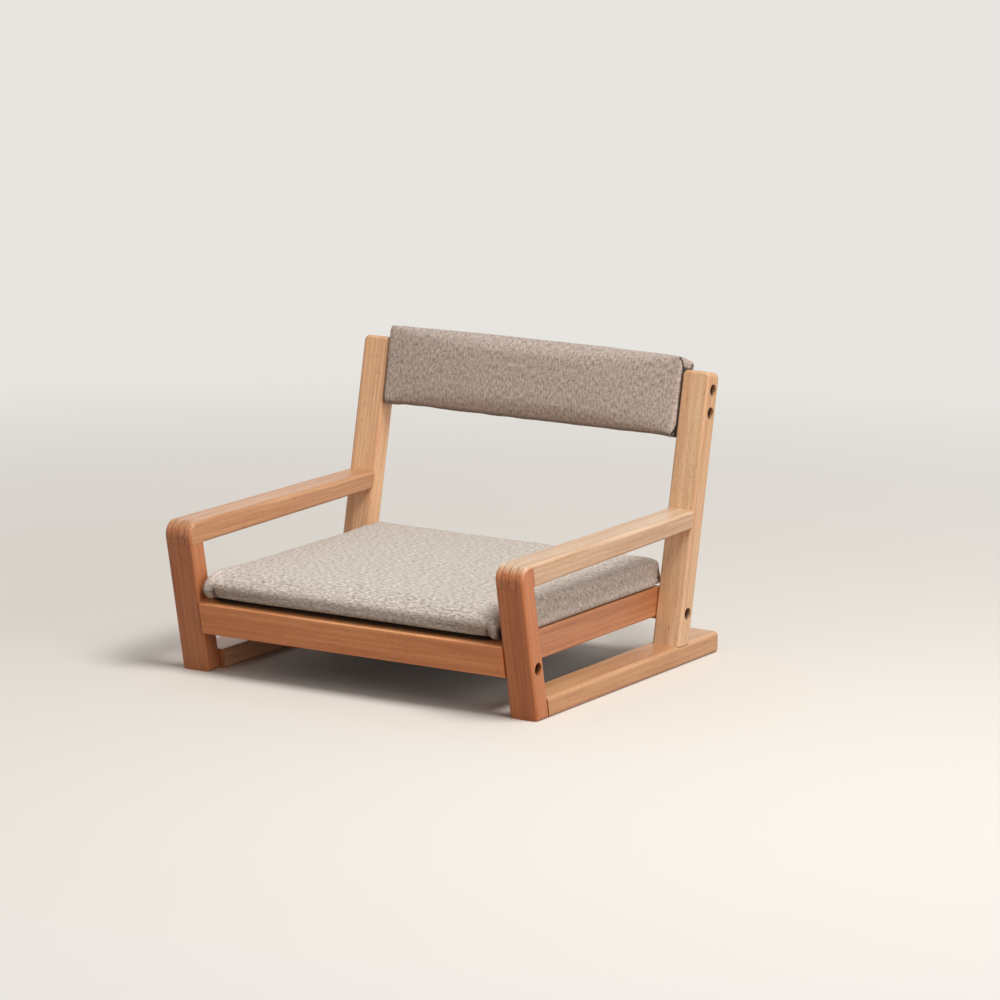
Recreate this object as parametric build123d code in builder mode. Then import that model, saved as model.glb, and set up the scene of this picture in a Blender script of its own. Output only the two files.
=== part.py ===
# Floor chair: two beech side frames, a bolted seat frame, a seat cushion and a back cushion.
# Millimetres. The origin is the middle of the footprint on the floor, +Z is up and the sitter faces -Y.
import os
from math import cos, radians, sin, tan

from build123d import *

os.makedirs("parts", exist_ok=True)

# Overall sizes
overall_width = 474.0
overall_depth = 472.0
overall_height = 355.5

# Side frames
post_width = 36.0
post_thickness = 26.0
front_lean = 13.5
rear_lean = 11.0
rear_post_drop = 17.0
armrest_top = 181.0
armrest_thickness = 26.5
armrest_taper = 4.5
armrest_corner_radius = 16.0
finger_count = 4
runner_width = 42.0
runner_height = 24.0
runner_tail = 78.0
runner_end_radius = 9.0
post_top_radius = 7.0
edge_radius = 4.0

# Seat frame
rail_top = 90.0
cross_rail_height = 38.5
cross_rail_thickness = 22.0
front_rail_proud = 1.5
rear_rail_setback = 2.0
side_rail_height = 35.5
side_rail_thickness = 22.0
rail_edge_radius = 2.0
block_leg = 56.0
block_height = 28.0
block_hole_share = 1 / 3

# Seat cushion
seat_side_gap = 2.0
seat_overhang = 2.0
seat_rear_reach = 6.0
seat_edge_height = 28.0
seat_crown = 9.0
seat_corner = 13.0
seat_draw_in = 2.5
seat_belly = 4.0
seat_shoulder = 9.0
seat_low_share = 0.25
seat_belly_share = 0.25
seat_end_share = 0.5
lining_thickness = 2.5
lining_setback = 7.0
seat_board_thickness = 9.0
seat_board_setback = 1.0
hem_width = 25.0

# Back cushion
back_height = 94.0
back_thickness = 35.0
back_proud = 5.0
back_end_gap = 0.5
back_round = 8.0
back_crown = 3.0
back_end_crown = 1.0
back_rear_share = 0.5
back_end_round = 5.0
back_draw_in = 1.5
back_board_thickness = 18.0
back_board_setback = 9.5

# Fabric
cover_thickness = 1.2

# Bolts, washers, nuts and inserts
bolt_radius = 3.0
bolt_head_radius = 5.0
bolt_head_height = 6.0
bolt_socket_width = 5.0
bolt_socket_depth = 3.0
bolt_hole_radius = 3.4
counterbore_radius = 7.25
counterbore_depth = 14.0
washer_radius = 6.5
washer_thickness = 1.4
rail_bolt_length = 60.0
rail_bolt_offset = 9.0
back_bolt_length = 45.0
back_bolt_spacing = 27.0
back_bolt_drop = 51.0
nut_radius = 5.0
nut_length = 14.0
nut_depth = 26.0
insert_radius = 4.5
insert_length = 16.0
thread_gap = 0.05
bolt_tip_room = 4.0

# Dowels and screws
dowel_radius = 4.0
dowel_chamfer = 0.8
dowel_spacing = 18.0
glue_gap = 0.1
glue_pocket = 1.0
armrest_dowel_length = 40.0
armrest_dowel_in_post = 17.0
foot_dowel_length = 40.0
foot_dowel_in_runner = 15.0
runner_dowel_length = 38.0
runner_dowel_in_post = 14.0
rail_dowel_length = 34.0
rail_dowel_in_post = 16.0
side_dowel_length = 30.0
side_dowel_in_rail = 12.0
screw_radius = 2.0
screw_head_radius = 4.0
screw_head_height = 2.4
screw_point = 4.0
screw_tip_radius = 0.5
screw_bite = 7.0
screw_hole_gap = 0.25

# Directions of the two leaning posts
front_sine = sin(radians(front_lean))
front_cosine = cos(radians(front_lean))
front_slope = tan(radians(front_lean))
rear_sine = sin(radians(rear_lean))
rear_cosine = cos(radians(rear_lean))
rear_slope = tan(radians(rear_lean))

# Places that follow from the sizes
outer_x = overall_width / 2
inner_x = outer_x - post_width
post_middle_x = outer_x - post_width / 2
armrest_bottom = armrest_top - armrest_thickness
armrest_rear_bottom = armrest_bottom + armrest_taper
rear_post_top = overall_height - rear_post_drop
back_bolt_height = overall_height - back_bolt_drop
corner_relief = armrest_corner_radius * (1 / front_cosine - 1 + front_slope)
front_foot_y = -overall_depth / 2 + front_slope * armrest_top - corner_relief
runner_end_y = overall_depth / 2
post_foot_depth = post_thickness / rear_cosine
rear_foot_y = runner_end_y - runner_tail - post_foot_depth - runner_height * rear_slope
post_middle = post_thickness / 2
bolt_seat_x = outer_x - counterbore_depth


def front_face_y(height):
    """Y of the front posts' front face at a height above the floor."""
    return front_foot_y - height * front_slope


def front_back_y(height):
    """Y of the front posts' back face at a height above the floor."""
    return front_face_y(height) + post_thickness / front_cosine


def rear_face_y(height):
    """Y of the rear posts' front face at a height above the floor."""
    return rear_foot_y + height * rear_slope


# Sketch planes across X: u runs back from a post's front face and v runs up along the post
front_side = Plane(origin=(0, front_foot_y, 0), x_dir=(0, front_cosine, front_sine), z_dir=(1, 0, 0))
rear_side = Plane(origin=(0, rear_foot_y, 0), x_dir=(0, rear_cosine, -rear_sine), z_dir=(1, 0, 0))


def front_place(x, u, v, direction):
    """A place given in a front post's own directions, with its axis along a direction."""
    return Plane(origin=front_side.from_local_coords((u, v, x)), z_dir=direction)


def rear_place(x, u, v, direction):
    """A place given in a rear post's own directions, with its axis along a direction."""
    return Plane(origin=rear_side.from_local_coords((u, v, x)), z_dir=direction)


def both_sides(place, x, u, v):
    """The same place on the right and on the left, each with its axis pointing out of the chair."""
    return [place(x, u, v, (1, 0, 0)), place(-x, u, v, (-1, 0, 0))]


def save(piece, name):
    """Labels a finished piece and writes its file."""
    piece.part.label = name
    export_step(piece.part, f"parts/{name}.step")


def save_pair(right_piece, name):
    """Writes a right-hand piece and its mirror image on the left."""
    save(right_piece, f"right_{name}")
    with BuildPart() as left_piece:
        add(mirror(right_piece.part, about=Plane.YZ))
    save(left_piece, f"left_{name}")


def drill(places, radius, depth):
    """Cuts round holes that run in from each place, against its axis."""
    with Locations(*places):
        Cylinder(radius, depth, align=(Align.CENTER, Align.CENTER, Align.MAX), mode=Mode.SUBTRACT)


def dowel_holes(places, length):
    """Cuts the glue-filled holes for dowels that are centred on their places."""
    with Locations(*places):
        Cylinder(dowel_radius + glue_gap, length + 2 * glue_pocket, mode=Mode.SUBTRACT)


# Seat frame places: the cross rails lean with the posts, so one top edge of each is the higher one
front_rail_u = -front_rail_proud
front_rail_back = front_rail_u + cross_rail_thickness
front_rail_top = (rail_top - front_rail_back * front_sine) / front_cosine
front_rail_middle = front_rail_top - cross_rail_height / 2
rear_rail_u = rear_rail_setback
rear_rail_top = (rail_top + rear_rail_u * rear_sine) / rear_cosine
rear_rail_middle = rear_rail_top - cross_rail_height / 2
front_rail_back_y = front_side.from_local_coords((front_rail_back, front_rail_top, 0)).Y
rear_rail_front_y = rear_side.from_local_coords((rear_rail_u, rear_rail_top, 0)).Y
side_rail_inner_x = inner_x - side_rail_thickness
side_rail_middle_x = inner_x - side_rail_thickness / 2

# Bolt places on the posts' outer faces
rail_bolt_places = (both_sides(front_place, outer_x, post_middle, front_rail_middle - rail_bolt_offset)
                    + both_sides(rear_place, outer_x, post_middle, rear_rail_middle - rail_bolt_offset))
back_bolt_low = (back_bolt_height + post_middle * rear_sine) / rear_cosine - back_bolt_spacing / 2
back_bolt_places = (both_sides(rear_place, outer_x, post_middle, back_bolt_low)
                    + both_sides(rear_place, outer_x, post_middle, back_bolt_low + back_bolt_spacing))

# Dowel places, each at the middle of its dowel
dowel_xs = [post_middle_x - dowel_spacing / 2, post_middle_x + dowel_spacing / 2]
armrest_end_middle = (armrest_top + armrest_rear_bottom) / 2
armrest_dowel_y = rear_face_y(armrest_end_middle) + armrest_dowel_in_post - armrest_dowel_length / 2
armrest_dowel_places = [
    Plane(origin=(x, armrest_dowel_y, armrest_end_middle), z_dir=(0, 1, 0)) for x in dowel_xs
]
foot_dowel_y = rear_face_y(runner_height) + post_foot_depth / 2
foot_dowel_z = runner_height - foot_dowel_in_runner + foot_dowel_length / 2
foot_dowel_places = [Plane(origin=(x, foot_dowel_y, foot_dowel_z), z_dir=(0, 0, 1)) for x in dowel_xs]
runner_dowel_z = runner_height / 2
runner_dowel_y = front_back_y(runner_dowel_z) - runner_dowel_in_post + runner_dowel_length / 2
runner_dowel_places = [Plane(origin=(x, runner_dowel_y, runner_dowel_z), z_dir=(0, 1, 0)) for x in dowel_xs]
rail_dowel_x = inner_x + rail_dowel_in_post - rail_dowel_length / 2
rail_dowel_places = (both_sides(front_place, rail_dowel_x, post_middle, front_rail_middle + rail_bolt_offset)
                     + both_sides(rear_place, rail_dowel_x, post_middle, rear_rail_middle + rail_bolt_offset))
side_dowel_front_u = front_rail_back - side_dowel_in_rail + side_dowel_length / 2
side_dowel_rear_u = rear_rail_u + side_dowel_in_rail - side_dowel_length / 2
side_dowel_places = []
for x in (side_rail_middle_x, -side_rail_middle_x):
    side_dowel_places.append(front_place(x, side_dowel_front_u, front_rail_middle, front_side.x_dir))
    side_dowel_places.append(rear_place(x, side_dowel_rear_u, rear_rail_middle, rear_side.x_dir))

# Floor runner: its front end is cut to the front post's back face
with BuildPart() as runner:
    with BuildSketch(Plane.YZ.offset(outer_x - runner_width)):
        with BuildLine():
            Polyline(
                (front_back_y(0), 0),
                (runner_end_y, 0),
                (runner_end_y, runner_height),
                (front_back_y(runner_height), runner_height),
                close=True,
            )
        make_face()
    extrude(amount=runner_width)
    fillet(runner.faces().sort_by(Axis.Y)[-1].edges().filter_by(Axis.Z), runner_end_radius)
    long_edges = runner.faces().filter_by(Axis.Z).edges().filter_by(Axis.Y)
    end_edges = runner.edges().group_by(Axis.Y)[-1].filter_by(Axis.X)
    fillet(long_edges + end_edges + runner.edges().filter_by(GeomType.CIRCLE), edge_radius)
    dowel_holes(foot_dowel_places, foot_dowel_length)
    dowel_holes(runner_dowel_places, runner_dowel_length)
save_pair(runner, "runner")

# Front post and armrest are rounded over together, then parted at their finger joint
front_top_corner = (front_face_y(armrest_top), armrest_top)
with BuildPart() as arm_loop:
    with BuildSketch(Plane.YZ.offset(inner_x)) as loop_profile:
        with BuildLine():
            Polyline(
                (front_face_y(0), 0),
                front_top_corner,
                (rear_face_y(armrest_top), armrest_top),
                (rear_face_y(armrest_rear_bottom), armrest_rear_bottom),
                (front_back_y(armrest_bottom), armrest_bottom),
                (front_back_y(0), 0),
                close=True,
            )
        make_face()
        fillet(loop_profile.vertices().sort_by_distance(front_top_corner)[0], armrest_corner_radius)
    extrude(amount=post_width)
    side_edges = arm_loop.faces().filter_by(Axis.X).edges()
    meets_rear_post = rear_face_y(armrest_rear_bottom) - edge_radius
    fillet([edge for edge in side_edges if edge.center().Y < meets_rear_post], edge_radius)

with BuildPart() as front_post:
    add(arm_loop.part)
    with BuildSketch(Plane.YZ.offset(inner_x)):
        with BuildLine():
            Polyline(
                (front_back_y(armrest_bottom), armrest_bottom),
                (front_back_y(armrest_top), armrest_top),
                (runner_end_y, armrest_top),
                (runner_end_y, armrest_bottom),
                close=True,
            )
        make_face()
    extrude(amount=post_width, mode=Mode.SUBTRACT)
    finger_width = post_width / finger_count
    for finger in range(0, finger_count, 2):
        with BuildSketch(Plane.YZ.offset(inner_x + finger * finger_width)):
            with BuildLine():
                Polyline(
                    (-overall_depth / 2, armrest_bottom),
                    (-overall_depth / 2, armrest_top),
                    (front_back_y(armrest_top), armrest_top),
                    (front_back_y(armrest_bottom), armrest_bottom),
                    close=True,
                )
            make_face()
        extrude(amount=finger_width, mode=Mode.SUBTRACT)

with BuildPart() as armrest:
    add(arm_loop.part)
    add(front_post.part, mode=Mode.SUBTRACT)
    dowel_holes(armrest_dowel_places, armrest_dowel_length)
save_pair(armrest, "armrest")

with BuildPart() as front_post_drilled:
    add(front_post.part)
    drill(rail_bolt_places[:1], counterbore_radius, counterbore_depth)
    drill(rail_bolt_places[:1], bolt_hole_radius, post_width)
    dowel_holes(rail_dowel_places[:1], rail_dowel_length)
    dowel_holes(runner_dowel_places, runner_dowel_length)
save_pair(front_post_drilled, "front_post")

# Rear post: square-cut top with round corners, level foot on the runner
rear_post_v = (rear_post_top + post_middle * rear_sine) / rear_cosine
rear_post_top_front = rear_side.from_local_coords((0, rear_post_v, 0))
rear_post_top_back = rear_side.from_local_coords((post_thickness, rear_post_v, 0))
with BuildPart() as rear_post:
    with BuildSketch(Plane.YZ.offset(inner_x)):
        with BuildLine():
            Polyline(
                (rear_face_y(runner_height), runner_height),
                (rear_face_y(runner_height) + post_foot_depth, runner_height),
                (rear_post_top_back.Y, rear_post_top_back.Z),
                (rear_post_top_front.Y, rear_post_top_front.Z),
                close=True,
            )
        make_face()
    extrude(amount=post_width)
    top_edges = rear_post.faces().sort_by(Axis.Z)[-1].edges()
    fillet([edge for edge in top_edges if abs(edge.center().X - post_middle_x) > 1], post_top_radius)
    fillet([edge for edge in rear_post.edges() if edge.center().Z > runner_height + edge_radius], edge_radius)
    drill(rail_bolt_places[2:3] + back_bolt_places[0::2], counterbore_radius, counterbore_depth)
    drill(rail_bolt_places[2:3] + back_bolt_places[0::2], bolt_hole_radius, post_width)
    dowel_holes(rail_dowel_places[2:3], rail_dowel_length)
    dowel_holes(armrest_dowel_places, armrest_dowel_length)
    dowel_holes(foot_dowel_places, foot_dowel_length)
save_pair(rear_post, "rear_post")

# Cross rails between the posts
nut_places = []
for bolt_place in rail_bolt_places:
    side = bolt_place.z_dir.X
    nut_axis = front_side.x_dir if bolt_place.origin.Y < 0 else rear_side.x_dir
    nut_origin = (side * (inner_x - nut_depth), bolt_place.origin.Y, bolt_place.origin.Z)
    nut_places.append(Plane(origin=nut_origin, z_dir=nut_axis))
rail_bolt_reach = rail_bolt_length - (bolt_seat_x + washer_thickness - inner_x) + bolt_tip_room


def cross_rail(side_plane, front_u, middle_v, bolts, dowels, side_dowels, nuts):
    """A rail between a pair of posts, drilled for its bolts, nuts and dowels."""
    with BuildPart() as rail:
        with BuildSketch(side_plane.offset(-inner_x)):
            with Locations((front_u + cross_rail_thickness / 2, middle_v)):
                Rectangle(cross_rail_thickness, cross_rail_height)
        extrude(amount=2 * inner_x)
        fillet(rail.edges().filter_by(Axis.X), rail_edge_radius)
        drill(bolts, bolt_hole_radius, outer_x - inner_x + rail_bolt_reach)
        with Locations(*nuts):
            Cylinder(nut_radius + thread_gap, nut_length, mode=Mode.SUBTRACT)
        dowel_holes(dowels, rail_dowel_length)
        dowel_holes(side_dowels, side_dowel_length)
    return rail


save(cross_rail(front_side, front_rail_u, front_rail_middle, rail_bolt_places[:2], rail_dowel_places[:2],
                side_dowel_places[0::2], nut_places[:2]), "front_rail")
save(cross_rail(rear_side, rear_rail_u, rear_rail_middle, rail_bolt_places[2:], rail_dowel_places[2:],
                side_dowel_places[1::2], nut_places[2:]), "rear_rail")

# Side rails run between the cross rails, flush with the posts' inner faces
side_rail_bottom = rail_top - side_rail_height
front_rail_back_low_y = front_rail_back_y + side_rail_height * front_slope
rear_rail_front_low_y = rear_rail_front_y - side_rail_height * rear_slope
with BuildPart() as side_rail:
    with BuildSketch(Plane.YZ.offset(side_rail_inner_x)):
        with BuildLine():
            Polyline(
                (front_rail_back_y, rail_top),
                (rear_rail_front_y, rail_top),
                (rear_rail_front_low_y, side_rail_bottom),
                (front_rail_back_low_y, side_rail_bottom),
                close=True,
            )
        make_face()
    extrude(amount=side_rail_thickness)
    fillet(side_rail.edges().filter_by(Axis.Y), rail_edge_radius)
    dowel_holes(side_dowel_places[:2], side_dowel_length)
save_pair(side_rail, "side_rail")

# Corner blocks glued into the seat frame's corners, each with a screw hole
block_bottom = rail_top - block_height
block_hole_inset = block_leg * block_hole_share
front_block_plane = Plane(origin=(0, front_rail_back_y, rail_top), z_dir=front_side.x_dir)
rear_block_plane = Plane(origin=(0, rear_rail_front_y, rail_top), z_dir=rear_side.x_dir)
front_screw = (side_rail_inner_x - block_hole_inset, front_rail_back_low_y + block_hole_inset)
rear_screw = (side_rail_inner_x - block_hole_inset, rear_rail_front_low_y - block_hole_inset)
screw_points = [(side * x, y) for side in (1, -1) for x, y in (front_screw, rear_screw)]


def corner_block(rail_y, inward, rail_face, keep):
    """A right-hand corner block whose end is cut to the leaning cross rail."""
    with BuildPart() as block:
        with BuildSketch(Plane.XY.offset(block_bottom)):
            with BuildLine():
                Polyline(
                    (side_rail_inner_x, rail_y - inward * cross_rail_thickness / 2),
                    (side_rail_inner_x, rail_y + inward * block_leg),
                    (side_rail_inner_x - block_leg, rail_y),
                    (side_rail_inner_x - block_leg, rail_y - inward * cross_rail_thickness / 2),
                    close=True,
                )
            make_face()
        extrude(amount=block_height)
        split(bisect_by=rail_face, keep=keep)
    return block.part


with BuildPart() as corner_blocks:
    add(corner_block(front_rail_back_low_y, 1, front_block_plane, Keep.TOP))
    add(corner_block(rear_rail_front_low_y, -1, rear_block_plane, Keep.BOTTOM))
    mirror(about=Plane.YZ)
    with Locations(*[(x, y, block_bottom) for x, y in screw_points]):
        Cylinder(
            screw_radius + screw_hole_gap,
            block_height,
            align=(Align.CENTER, Align.CENTER, Align.MIN),
            mode=Mode.SUBTRACT,
        )
        Cone(
            screw_head_radius + screw_hole_gap,
            screw_radius + screw_hole_gap,
            screw_head_height,
            align=(Align.CENTER, Align.CENTER, Align.MIN),
            mode=Mode.SUBTRACT,
        )
save(corner_blocks, "corner_blocks")

# Seat cushion places
seat_bottom = rail_top + lining_thickness
seat_front_y = front_side.from_local_coords((front_rail_u, front_rail_top, 0)).Y - seat_overhang
seat_rear_y = rear_rail_front_y + seat_rear_reach
seat_middle_y = (seat_front_y + seat_rear_y) / 2
seat_half_depth = (seat_rear_y - seat_front_y) / 2
seat_half_width = inner_x - seat_side_gap
end_angles = (0, 22.5, 45, 67.5, 90)
cushion_spans = 8
half_turn_share = sin(radians(45))


def stations(reach, corner):
    """Places from one end of a cushion to the other, each with how far its rounded ends shrink it there."""
    ends = [(reach - corner * (1 - cos(radians(a))), corner * (1 - sin(radians(a)))) for a in end_angles]
    spans = [((reach - corner) * (2 * span / cushion_spans - 1), 0) for span in range(1, cushion_spans)]
    return [(-along, shrink) for along, shrink in ends] + spans + ends[::-1]


def seat_form(inset):
    """The seat cushion's crowned outside, drawn in between its corners, shrunk by an inset all round."""
    with BuildPart() as form:
        for along, shrink in stations(seat_half_depth - inset, seat_corner):
            swell = 1 - (along / seat_half_depth) ** 2
            half = seat_half_width - inset - shrink - seat_draw_in * swell
            low = seat_bottom + inset + seat_low_share * shrink
            high = seat_bottom + seat_edge_height - inset - shrink
            bend = seat_shoulder * (1 - seat_end_share * shrink / seat_corner)
            bend_middle = bend * (1 - half_turn_share)
            foot = half - seat_belly
            crest = high + seat_crown * (seat_end_share + (1 - seat_end_share) * swell)
            with BuildSketch(Plane.XZ.offset(-seat_middle_y - along)):
                with BuildLine():
                    Line((-foot, low), (foot, low))
                    for side in (1, -1):
                        ThreePointArc(
                            (side * foot, low),
                            (side * (half - seat_belly_share * seat_belly), (low + high - bend) / 2),
                            (side * half, high - bend),
                        )
                        ThreePointArc(
                            (side * half, high - bend),
                            (side * (half - bend_middle), high - bend_middle),
                            (side * (half - bend), high),
                        )
                    ThreePointArc((half - bend, high), (0, crest), (bend - half, high))
                make_face()
        loft(ruled=True)
    return form.part


seat_outside = seat_form(0)
seat_inside = seat_form(cover_thickness)
seat_foot_x = seat_half_width - seat_belly - seat_draw_in
seat_board_half_width = seat_foot_x - cover_thickness - seat_board_setback
seat_board_half_depth = seat_half_depth - seat_corner - cover_thickness - seat_board_setback


def seat_plan(half_width, half_depth):
    """A rounded rectangle under the seat cushion's middle."""
    with BuildSketch(mode=Mode.PRIVATE) as plan:
        with Locations((0, seat_middle_y)):
            RectangleRounded(2 * half_width, 2 * half_depth, seat_corner)
    return plan.sketch


with BuildPart() as seat_cover:
    add(seat_outside)
    add(seat_inside, mode=Mode.SUBTRACT)
    with BuildSketch(Plane.XY.offset(seat_bottom)):
        with Locations((0, seat_middle_y)):
            Rectangle(2 * (seat_foot_x - hem_width), 2 * (seat_half_depth - hem_width))
    extrude(amount=cover_thickness, mode=Mode.SUBTRACT)
save(seat_cover, "seat_cover")

with BuildPart() as seat_board:
    with BuildSketch(Plane.XY.offset(seat_bottom + cover_thickness)):
        add(seat_plan(seat_board_half_width, seat_board_half_depth))
    extrude(amount=seat_board_thickness)
    with Locations(*[(x, y, seat_bottom + cover_thickness) for x, y in screw_points]):
        Cylinder(
            screw_radius + thread_gap,
            screw_bite + thread_gap,
            align=(Align.CENTER, Align.CENTER, Align.MIN),
            mode=Mode.SUBTRACT,
        )
save(seat_board, "seat_board")

with BuildPart() as seat_foam:
    add(seat_inside)
    with BuildSketch(Plane.XY.offset(seat_bottom)):
        add(seat_plan(seat_board_half_width, seat_board_half_depth))
    extrude(amount=cover_thickness + seat_board_thickness, mode=Mode.SUBTRACT)
save(seat_foam, "seat_foam")

with BuildPart() as seat_lining:
    with BuildSketch(Plane.XY.offset(rail_top)):
        add(seat_plan(seat_foot_x - lining_setback, seat_half_depth - lining_setback))
    extrude(amount=lining_thickness)
    with Locations(*[(x, y, rail_top) for x, y in screw_points]):
        Cylinder(
            screw_radius + screw_hole_gap,
            lining_thickness,
            align=(Align.CENTER, Align.CENTER, Align.MIN),
            mode=Mode.SUBTRACT,
        )
save(seat_lining, "seat_lining")

# Back cushion places, in the rear posts' own directions
back_front_u = -back_proud
back_round_v = (overall_height - back_round + (back_front_u + back_round) * rear_sine) / rear_cosine
back_top_v = back_round_v + back_round
back_half_width = inner_x - back_end_gap
back_middle_v = back_top_v - back_height / 2
back_middle_u = back_front_u + back_thickness / 2


def back_form(inset):
    """The back cushion's outside: a rounded bar with a crowned face, shrunk by an inset all round."""
    with BuildPart() as form:
        for x, shrink in stations(back_half_width - inset, back_end_round):
            swell = 1 - (x / back_half_width) ** 2
            rise = back_height / 2 - inset - shrink - back_draw_in * swell
            reach = back_thickness / 2 - inset - shrink
            crown = back_end_crown + (back_crown - back_end_crown) * swell
            front = back_middle_u - reach
            back = back_middle_u + reach
            low = back_middle_v - rise
            high = back_middle_v + rise
            with BuildSketch(rear_side.offset(x)) as section:
                with BuildLine():
                    ThreePointArc((front, high), (front - crown, back_middle_v), (front, low))
                    Line((front, low), (back, low))
                    ThreePointArc((back, low), (back + back_rear_share * crown, back_middle_v), (back, high))
                    Line((back, high), (front, high))
                make_face()
                fillet(section.vertices(), back_round - inset)
        loft(ruled=True)
    return form.part


back_outside = back_form(0)
back_inside = back_form(cover_thickness)
back_board_end_x = back_half_width - cover_thickness
insert_hole_depth = back_bolt_length - (bolt_seat_x + washer_thickness - back_board_end_x) + bolt_tip_room

with BuildPart() as back_cover:
    add(back_outside)
    add(back_inside, mode=Mode.SUBTRACT)
    drill(back_bolt_places, bolt_hole_radius, outer_x - back_board_end_x)
save(back_cover, "back_cover")

with BuildPart() as back_board_blank:
    with BuildSketch(rear_side.offset(-back_board_end_x)):
        with Locations((post_middle, back_middle_v)):
            Rectangle(back_board_thickness, back_height - 2 * back_board_setback)
    extrude(amount=2 * back_board_end_x)

with BuildPart() as back_board:
    add(back_board_blank.part)
    drill(back_bolt_places, insert_radius + thread_gap, outer_x - back_board_end_x + insert_length)
    drill(back_bolt_places, bolt_hole_radius, outer_x - back_board_end_x + insert_hole_depth)
save(back_board, "back_board")

with BuildPart() as back_foam:
    add(back_inside)
    add(back_board_blank.part, mode=Mode.SUBTRACT)
save(back_foam, "back_foam")


# Hardware
def socket_bolt(length):
    """A hexagon-socket bolt: its head stands on z = 0 and its shank runs down."""
    with BuildPart() as bolt:
        Cylinder(bolt_head_radius, bolt_head_height, align=(Align.CENTER, Align.CENTER, Align.MIN))
        Cylinder(bolt_radius, length, align=(Align.CENTER, Align.CENTER, Align.MAX))
        with BuildSketch(Plane.XY.offset(bolt_head_height)):
            RegularPolygon(bolt_socket_width / 2, 6, major_radius=False)
        extrude(amount=-bolt_socket_depth, mode=Mode.SUBTRACT)
    return bolt.part


def moved_in(places, distance):
    """The same places moved a distance in along their own axes."""
    return [place.offset(-distance) for place in places]


def save_bolts(places, length, name):
    """A group of bolts with their heads on the washers in the counterbores."""
    bolt = socket_bolt(length)
    with BuildPart() as bolts:
        with Locations(*moved_in(places, counterbore_depth - washer_thickness)):
            add(bolt)
    save(bolts, name)


save_bolts(rail_bolt_places, rail_bolt_length, "rail_bolts")
save_bolts(back_bolt_places, back_bolt_length, "back_bolts")

with BuildPart() as bolt_washers:
    with Locations(*moved_in(rail_bolt_places + back_bolt_places, counterbore_depth)):
        Cylinder(washer_radius, washer_thickness, align=(Align.CENTER, Align.CENTER, Align.MIN))
        Cylinder(
            bolt_hole_radius,
            washer_thickness,
            align=(Align.CENTER, Align.CENTER, Align.MIN),
            mode=Mode.SUBTRACT,
        )
save(bolt_washers, "bolt_washers")

with BuildPart() as barrel_nuts:
    with Locations(*nut_places):
        Cylinder(nut_radius, nut_length)
    drill(rail_bolt_places, bolt_radius + thread_gap, outer_x)
save(barrel_nuts, "barrel_nuts")

with BuildPart() as back_inserts:
    with Locations(*moved_in(back_bolt_places, outer_x - back_board_end_x)):
        Cylinder(insert_radius, insert_length, align=(Align.CENTER, Align.CENTER, Align.MAX))
    drill(back_bolt_places, bolt_radius + thread_gap, outer_x)
save(back_inserts, "back_inserts")


def save_dowels(places, length, name):
    """A group of chamfered dowels, each centred on its place."""
    with BuildPart() as dowels:
        with Locations(*places):
            Cylinder(dowel_radius, length)
        chamfer(dowels.edges().filter_by(GeomType.CIRCLE), dowel_chamfer)
    save(dowels, name)


def with_left(places):
    """Right-hand dowel places together with their mirror images on the left."""
    return places + [Plane(origin=(-p.origin.X, p.origin.Y, p.origin.Z), z_dir=p.z_dir) for p in places]


save_dowels(with_left(armrest_dowel_places), armrest_dowel_length, "armrest_dowels")
save_dowels(with_left(foot_dowel_places), foot_dowel_length, "rear_post_dowels")
save_dowels(with_left(runner_dowel_places), runner_dowel_length, "front_post_dowels")
save_dowels(rail_dowel_places, rail_dowel_length, "rail_dowels")
save_dowels(side_dowel_places, side_dowel_length, "side_rail_dowels")

# Screws up through the corner blocks into the seat board
screw_length = block_height + lining_thickness + cover_thickness + screw_bite
with BuildPart() as seat_screws:
    with Locations(*[(x, y, block_bottom) for x, y in screw_points]):
        Cone(
            screw_head_radius,
            screw_radius,
            screw_head_height,
            align=(Align.CENTER, Align.CENTER, Align.MIN),
        )
        Cylinder(screw_radius, screw_length - screw_point, align=(Align.CENTER, Align.CENTER, Align.MIN))
    with Locations(*[(x, y, block_bottom + screw_length - screw_point) for x, y in screw_points]):
        Cone(screw_radius, screw_tip_radius, screw_point, align=(Align.CENTER, Align.CENTER, Align.MIN))
save(seat_screws, "seat_screws")
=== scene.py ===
# Floor chair: finishes, padded cushions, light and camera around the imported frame. Metres.
from math import cos, pi, radians, sin, tan

import bmesh
import bpy
import numpy as np
from mathutils import Matrix, Quaternion, Vector, noise


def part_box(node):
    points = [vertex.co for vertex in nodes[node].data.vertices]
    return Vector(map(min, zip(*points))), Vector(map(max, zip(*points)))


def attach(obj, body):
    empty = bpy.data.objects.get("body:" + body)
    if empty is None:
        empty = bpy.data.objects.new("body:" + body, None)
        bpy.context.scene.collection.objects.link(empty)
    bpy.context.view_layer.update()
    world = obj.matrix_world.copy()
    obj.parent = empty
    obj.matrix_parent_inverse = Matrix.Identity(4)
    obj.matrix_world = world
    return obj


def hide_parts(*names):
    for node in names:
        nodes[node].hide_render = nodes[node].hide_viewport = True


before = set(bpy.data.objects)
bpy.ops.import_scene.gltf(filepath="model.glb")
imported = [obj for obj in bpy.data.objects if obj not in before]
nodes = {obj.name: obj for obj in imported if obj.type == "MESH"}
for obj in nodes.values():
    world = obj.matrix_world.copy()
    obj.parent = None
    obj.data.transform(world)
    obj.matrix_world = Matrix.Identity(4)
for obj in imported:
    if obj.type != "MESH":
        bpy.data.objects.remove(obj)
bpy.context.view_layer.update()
scene = bpy.context.scene

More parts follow.
